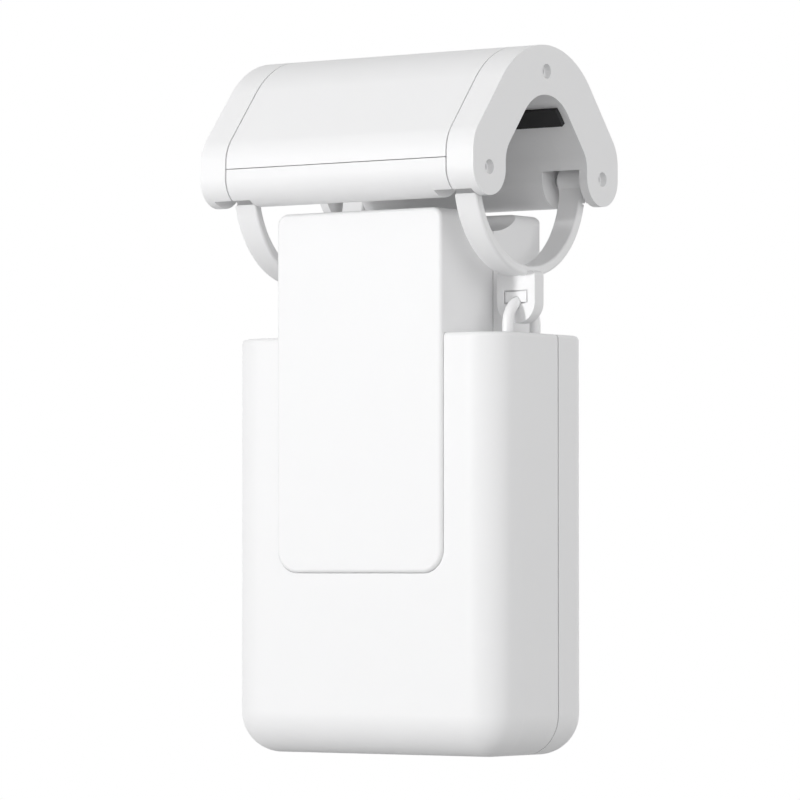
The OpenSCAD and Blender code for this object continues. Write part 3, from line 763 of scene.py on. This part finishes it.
@dataclass
class Studio:
    """Floor, light and camera.

    Attributes:
        floor_z: Height of the floor.
        floor_size: Side of the floor.
        floor_dark: Tone of the darker places of the floor.
        floor_light: Tone of its lighter places.
        floor_patch: Tone patches of the floor in a metre.
        floor_rough: Roughness of the floor.
        floor_lift: How many times paler the floor is where it is seen.
        fade_near: Distance at which the floor starts to fade to white where it is seen.
        fade_far: Distance at which it is white.
        sky: Strength of the light from all round, at the horizon.
        zenith: Strength of that light from straight above.
        place: Place of the camera.
        yaw: Turn of the camera about the upright axis, in degrees.
        pitch: Tilt of the camera above the horizon, in degrees.
        lens: Focal length in millimetres.
        sensor: Width of the camera's sensor in millimetres.
        near: Nearest distance that the camera shows.
        far: Farthest distance that it shows.
        lamps: The softboxes.
        LEVEL: Tilt at which an unturned camera looks along the ground, in degrees.
    """

    floor_z: float = -0.28
    floor_size: float = 2.6
    floor_dark: float = 0.54
    floor_light: float = 0.56
    floor_patch: float = 3.0
    floor_rough: float = 0.8
    floor_lift: float = 1.5
    fade_near: float = 0.3
    fade_far: float = 1.1
    sky: float = 0.56
    zenith: float = 0.41
    place: Point = (0.7487, -1.04522, -0.1006)
    yaw: float = 35.72
    pitch: float = 1.943
    lens: float = 227.1
    sensor: float = 36.0
    near: float = 0.01
    far: float = 20.0
    lamps: tuple[Softbox, ...] = LAMPS

    LEVEL = 90.0

    def build(self) -> None:
        """Sets up the floor, the world, the lamps and the camera."""
        scene = bpy.context.scene
        scene.view_settings.view_transform = "Standard"
        self._floor()
        self._world(scene)
        for lamp in self.lamps:
            lamp.light()
        self._camera(scene)

    @staticmethod
    def _combine(
        tree: bpy.types.NodeTree, operation: str, a: bpy.types.NodeSocket, b: bpy.types.NodeSocket
    ) -> bpy.types.NodeSocket:
        """Adds a Math node on two values.

        Args:
            tree: Node tree of the material or world.
            operation: What the node works out.
            a: The first value.
            b: The second value.

        Returns:
            The socket that puts out the result.
        """
        made = tree.nodes.new("ShaderNodeMath")
        made.operation = operation
        tree.links.new(a, made.inputs[0])
        tree.links.new(b, made.inputs[1])
        return made.outputs["Value"]

    @staticmethod
    def _ramp(
        tree: bpy.types.NodeTree, value: bpy.types.NodeSocket, low: float, high: float
    ) -> bpy.types.Node:
        """Adds a Map Range node that takes zero to one value and one to another.

        Args:
            tree: Node tree of the material or world.
            value: The value that is mapped.
            low: What zero becomes.
            high: What one becomes.

        Returns:
            The node.
        """
        made = tree.nodes.new("ShaderNodeMapRange")
        made.inputs["To Min"].default_value = low
        made.inputs["To Max"].default_value = high
        tree.links.new(value, made.inputs["Value"])
        return made

    def _seen(self, tree: bpy.types.NodeTree) -> bpy.types.NodeSocket:
        """Mask of what the camera sees, directly, mirrored or through a clear piece.

        Args:
            tree: Node tree of the material or world.

        Returns:
            The socket that puts out the mask.
        """
        path = tree.nodes.new("ShaderNodeLightPath")
        mask = path.outputs["Is Camera Ray"]
        for ray in ("Is Glossy Ray", "Is Transmission Ray"):
            mask = self._combine(tree, "MAXIMUM", mask, path.outputs[ray])
        return mask

    def _floor(self) -> None:
        """Lays a plain floor under the object."""
        bpy.ops.object.select_all(action="DESELECT")
        bpy.ops.mesh.primitive_plane_add(size=self.floor_size, location=(0.0, 0.0, self.floor_z))
        floor = bpy.context.active_object
        floor.name = "studio_floor"
        floor.data.materials.append(self._floor_finish())

    def _floor_finish(self) -> bpy.types.Material:
        """Pale matt floor that fades to white away from the object, where it is seen.

        Returns:
            The material.
        """
        made = bpy.data.materials.new("pale_floor")
        made.use_nodes = True
        tree = made.node_tree
        nodes, links = tree.nodes, tree.links
        shader = nodes["Principled BSDF"]
        shader.inputs["Roughness"].default_value = self.floor_rough
        seen = self._seen(tree)
        place = nodes.new("ShaderNodeTexCoord")
        noise = nodes.new("ShaderNodeTexNoise")
        noise.inputs["Scale"].default_value = self.floor_patch
        links.new(place.outputs["Object"], noise.inputs["Vector"])
        tone = self._ramp(tree, noise.outputs["Fac"], self.floor_dark, self.floor_light)
        lift = self._ramp(tree, seen, 1.0, self.floor_lift)
        tint = self._combine(tree, "MULTIPLY", tone.outputs["Result"], lift.outputs["Result"])
        links.new(tint, shader.inputs["Base Color"])
        away = nodes.new("ShaderNodeVectorMath")
        away.operation = "LENGTH"
        links.new(place.outputs["Object"], away.inputs[0])
        fade = self._ramp(tree, away.outputs["Value"], 0.0, 1.0)
        fade.interpolation_type = "SMOOTHSTEP"
        fade.inputs["From Min"].default_value = self.fade_near
        fade.inputs["From Max"].default_value = self.fade_far
        share = self._combine(tree, "MULTIPLY", fade.outputs["Result"], seen)
        white = nodes.new("ShaderNodeEmission")
        white.inputs["Color"].default_value = WHITE
        white.inputs["Strength"].default_value = WHITE_STRENGTH
        blend = nodes.new("ShaderNodeMixShader")
        links.new(share, blend.inputs["Fac"])
        links.new(shader.outputs["BSDF"], blend.inputs[1])
        links.new(white.outputs["Emission"], blend.inputs[2])
        links.new(blend.outputs["Shader"], nodes["Material Output"].inputs["Surface"])
        return made

    def _world(self, scene: bpy.types.Scene) -> None:
        """Soft light from all round that falls off upwards, seen as white by the camera.

        Args:
            scene: The scene to light.
        """
        world = bpy.data.worlds.new("studio_world")
        scene.world = world
        world.use_nodes = True
        tree = world.node_tree
        nodes, links = tree.nodes, tree.links
        back = nodes["Background"]
        back.inputs["Color"].default_value = WHITE
        place = nodes.new("ShaderNodeTexCoord")
        split = nodes.new("ShaderNodeSeparateXYZ")
        links.new(place.outputs["Generated"], split.inputs["Vector"])
        rise = self._ramp(tree, split.outputs["Z"], self.sky, self.zenith)
        strength = self._ramp(tree, self._seen(tree), self.sky, WHITE_STRENGTH)
        links.new(rise.outputs["Result"], strength.inputs["To Min"])
        links.new(strength.outputs["Result"], back.inputs["Strength"])

    def _camera(self, scene: bpy.types.Scene) -> None:
        """Puts the camera at the photograph's angle.

        Args:
            scene: The scene that gets the camera.
        """
        data = bpy.data.cameras.new("camera")
        data.sensor_width = self.sensor
        data.lens = self.lens
        data.clip_start = self.near
        data.clip_end = self.far
        camera = bpy.data.objects.new("camera", data)
        scene.collection.objects.link(camera)
        camera.location = self.place
        camera.rotation_euler = (math.radians(self.LEVEL + self.pitch), 0.0, math.radians(self.yaw))
        scene.camera = camera


def main() -> None:
    """Builds the sub-assemblies in order and reports their pieces, then sets up the studio."""
    logging.basicConfig(level=logging.INFO, format="%(message)s")
    wardrobe = Wardrobe()
    modeller = Modeller()
    for part in (Head(), Gate(), DriveUnit()):
        for piece in part.build(modeller, wardrobe):
            LOG.info("%s: %s, %d faces", type(part).__name__, piece.name, len(piece.data.polygons))
    Studio().build()


if __name__ == "__main__":
    main()
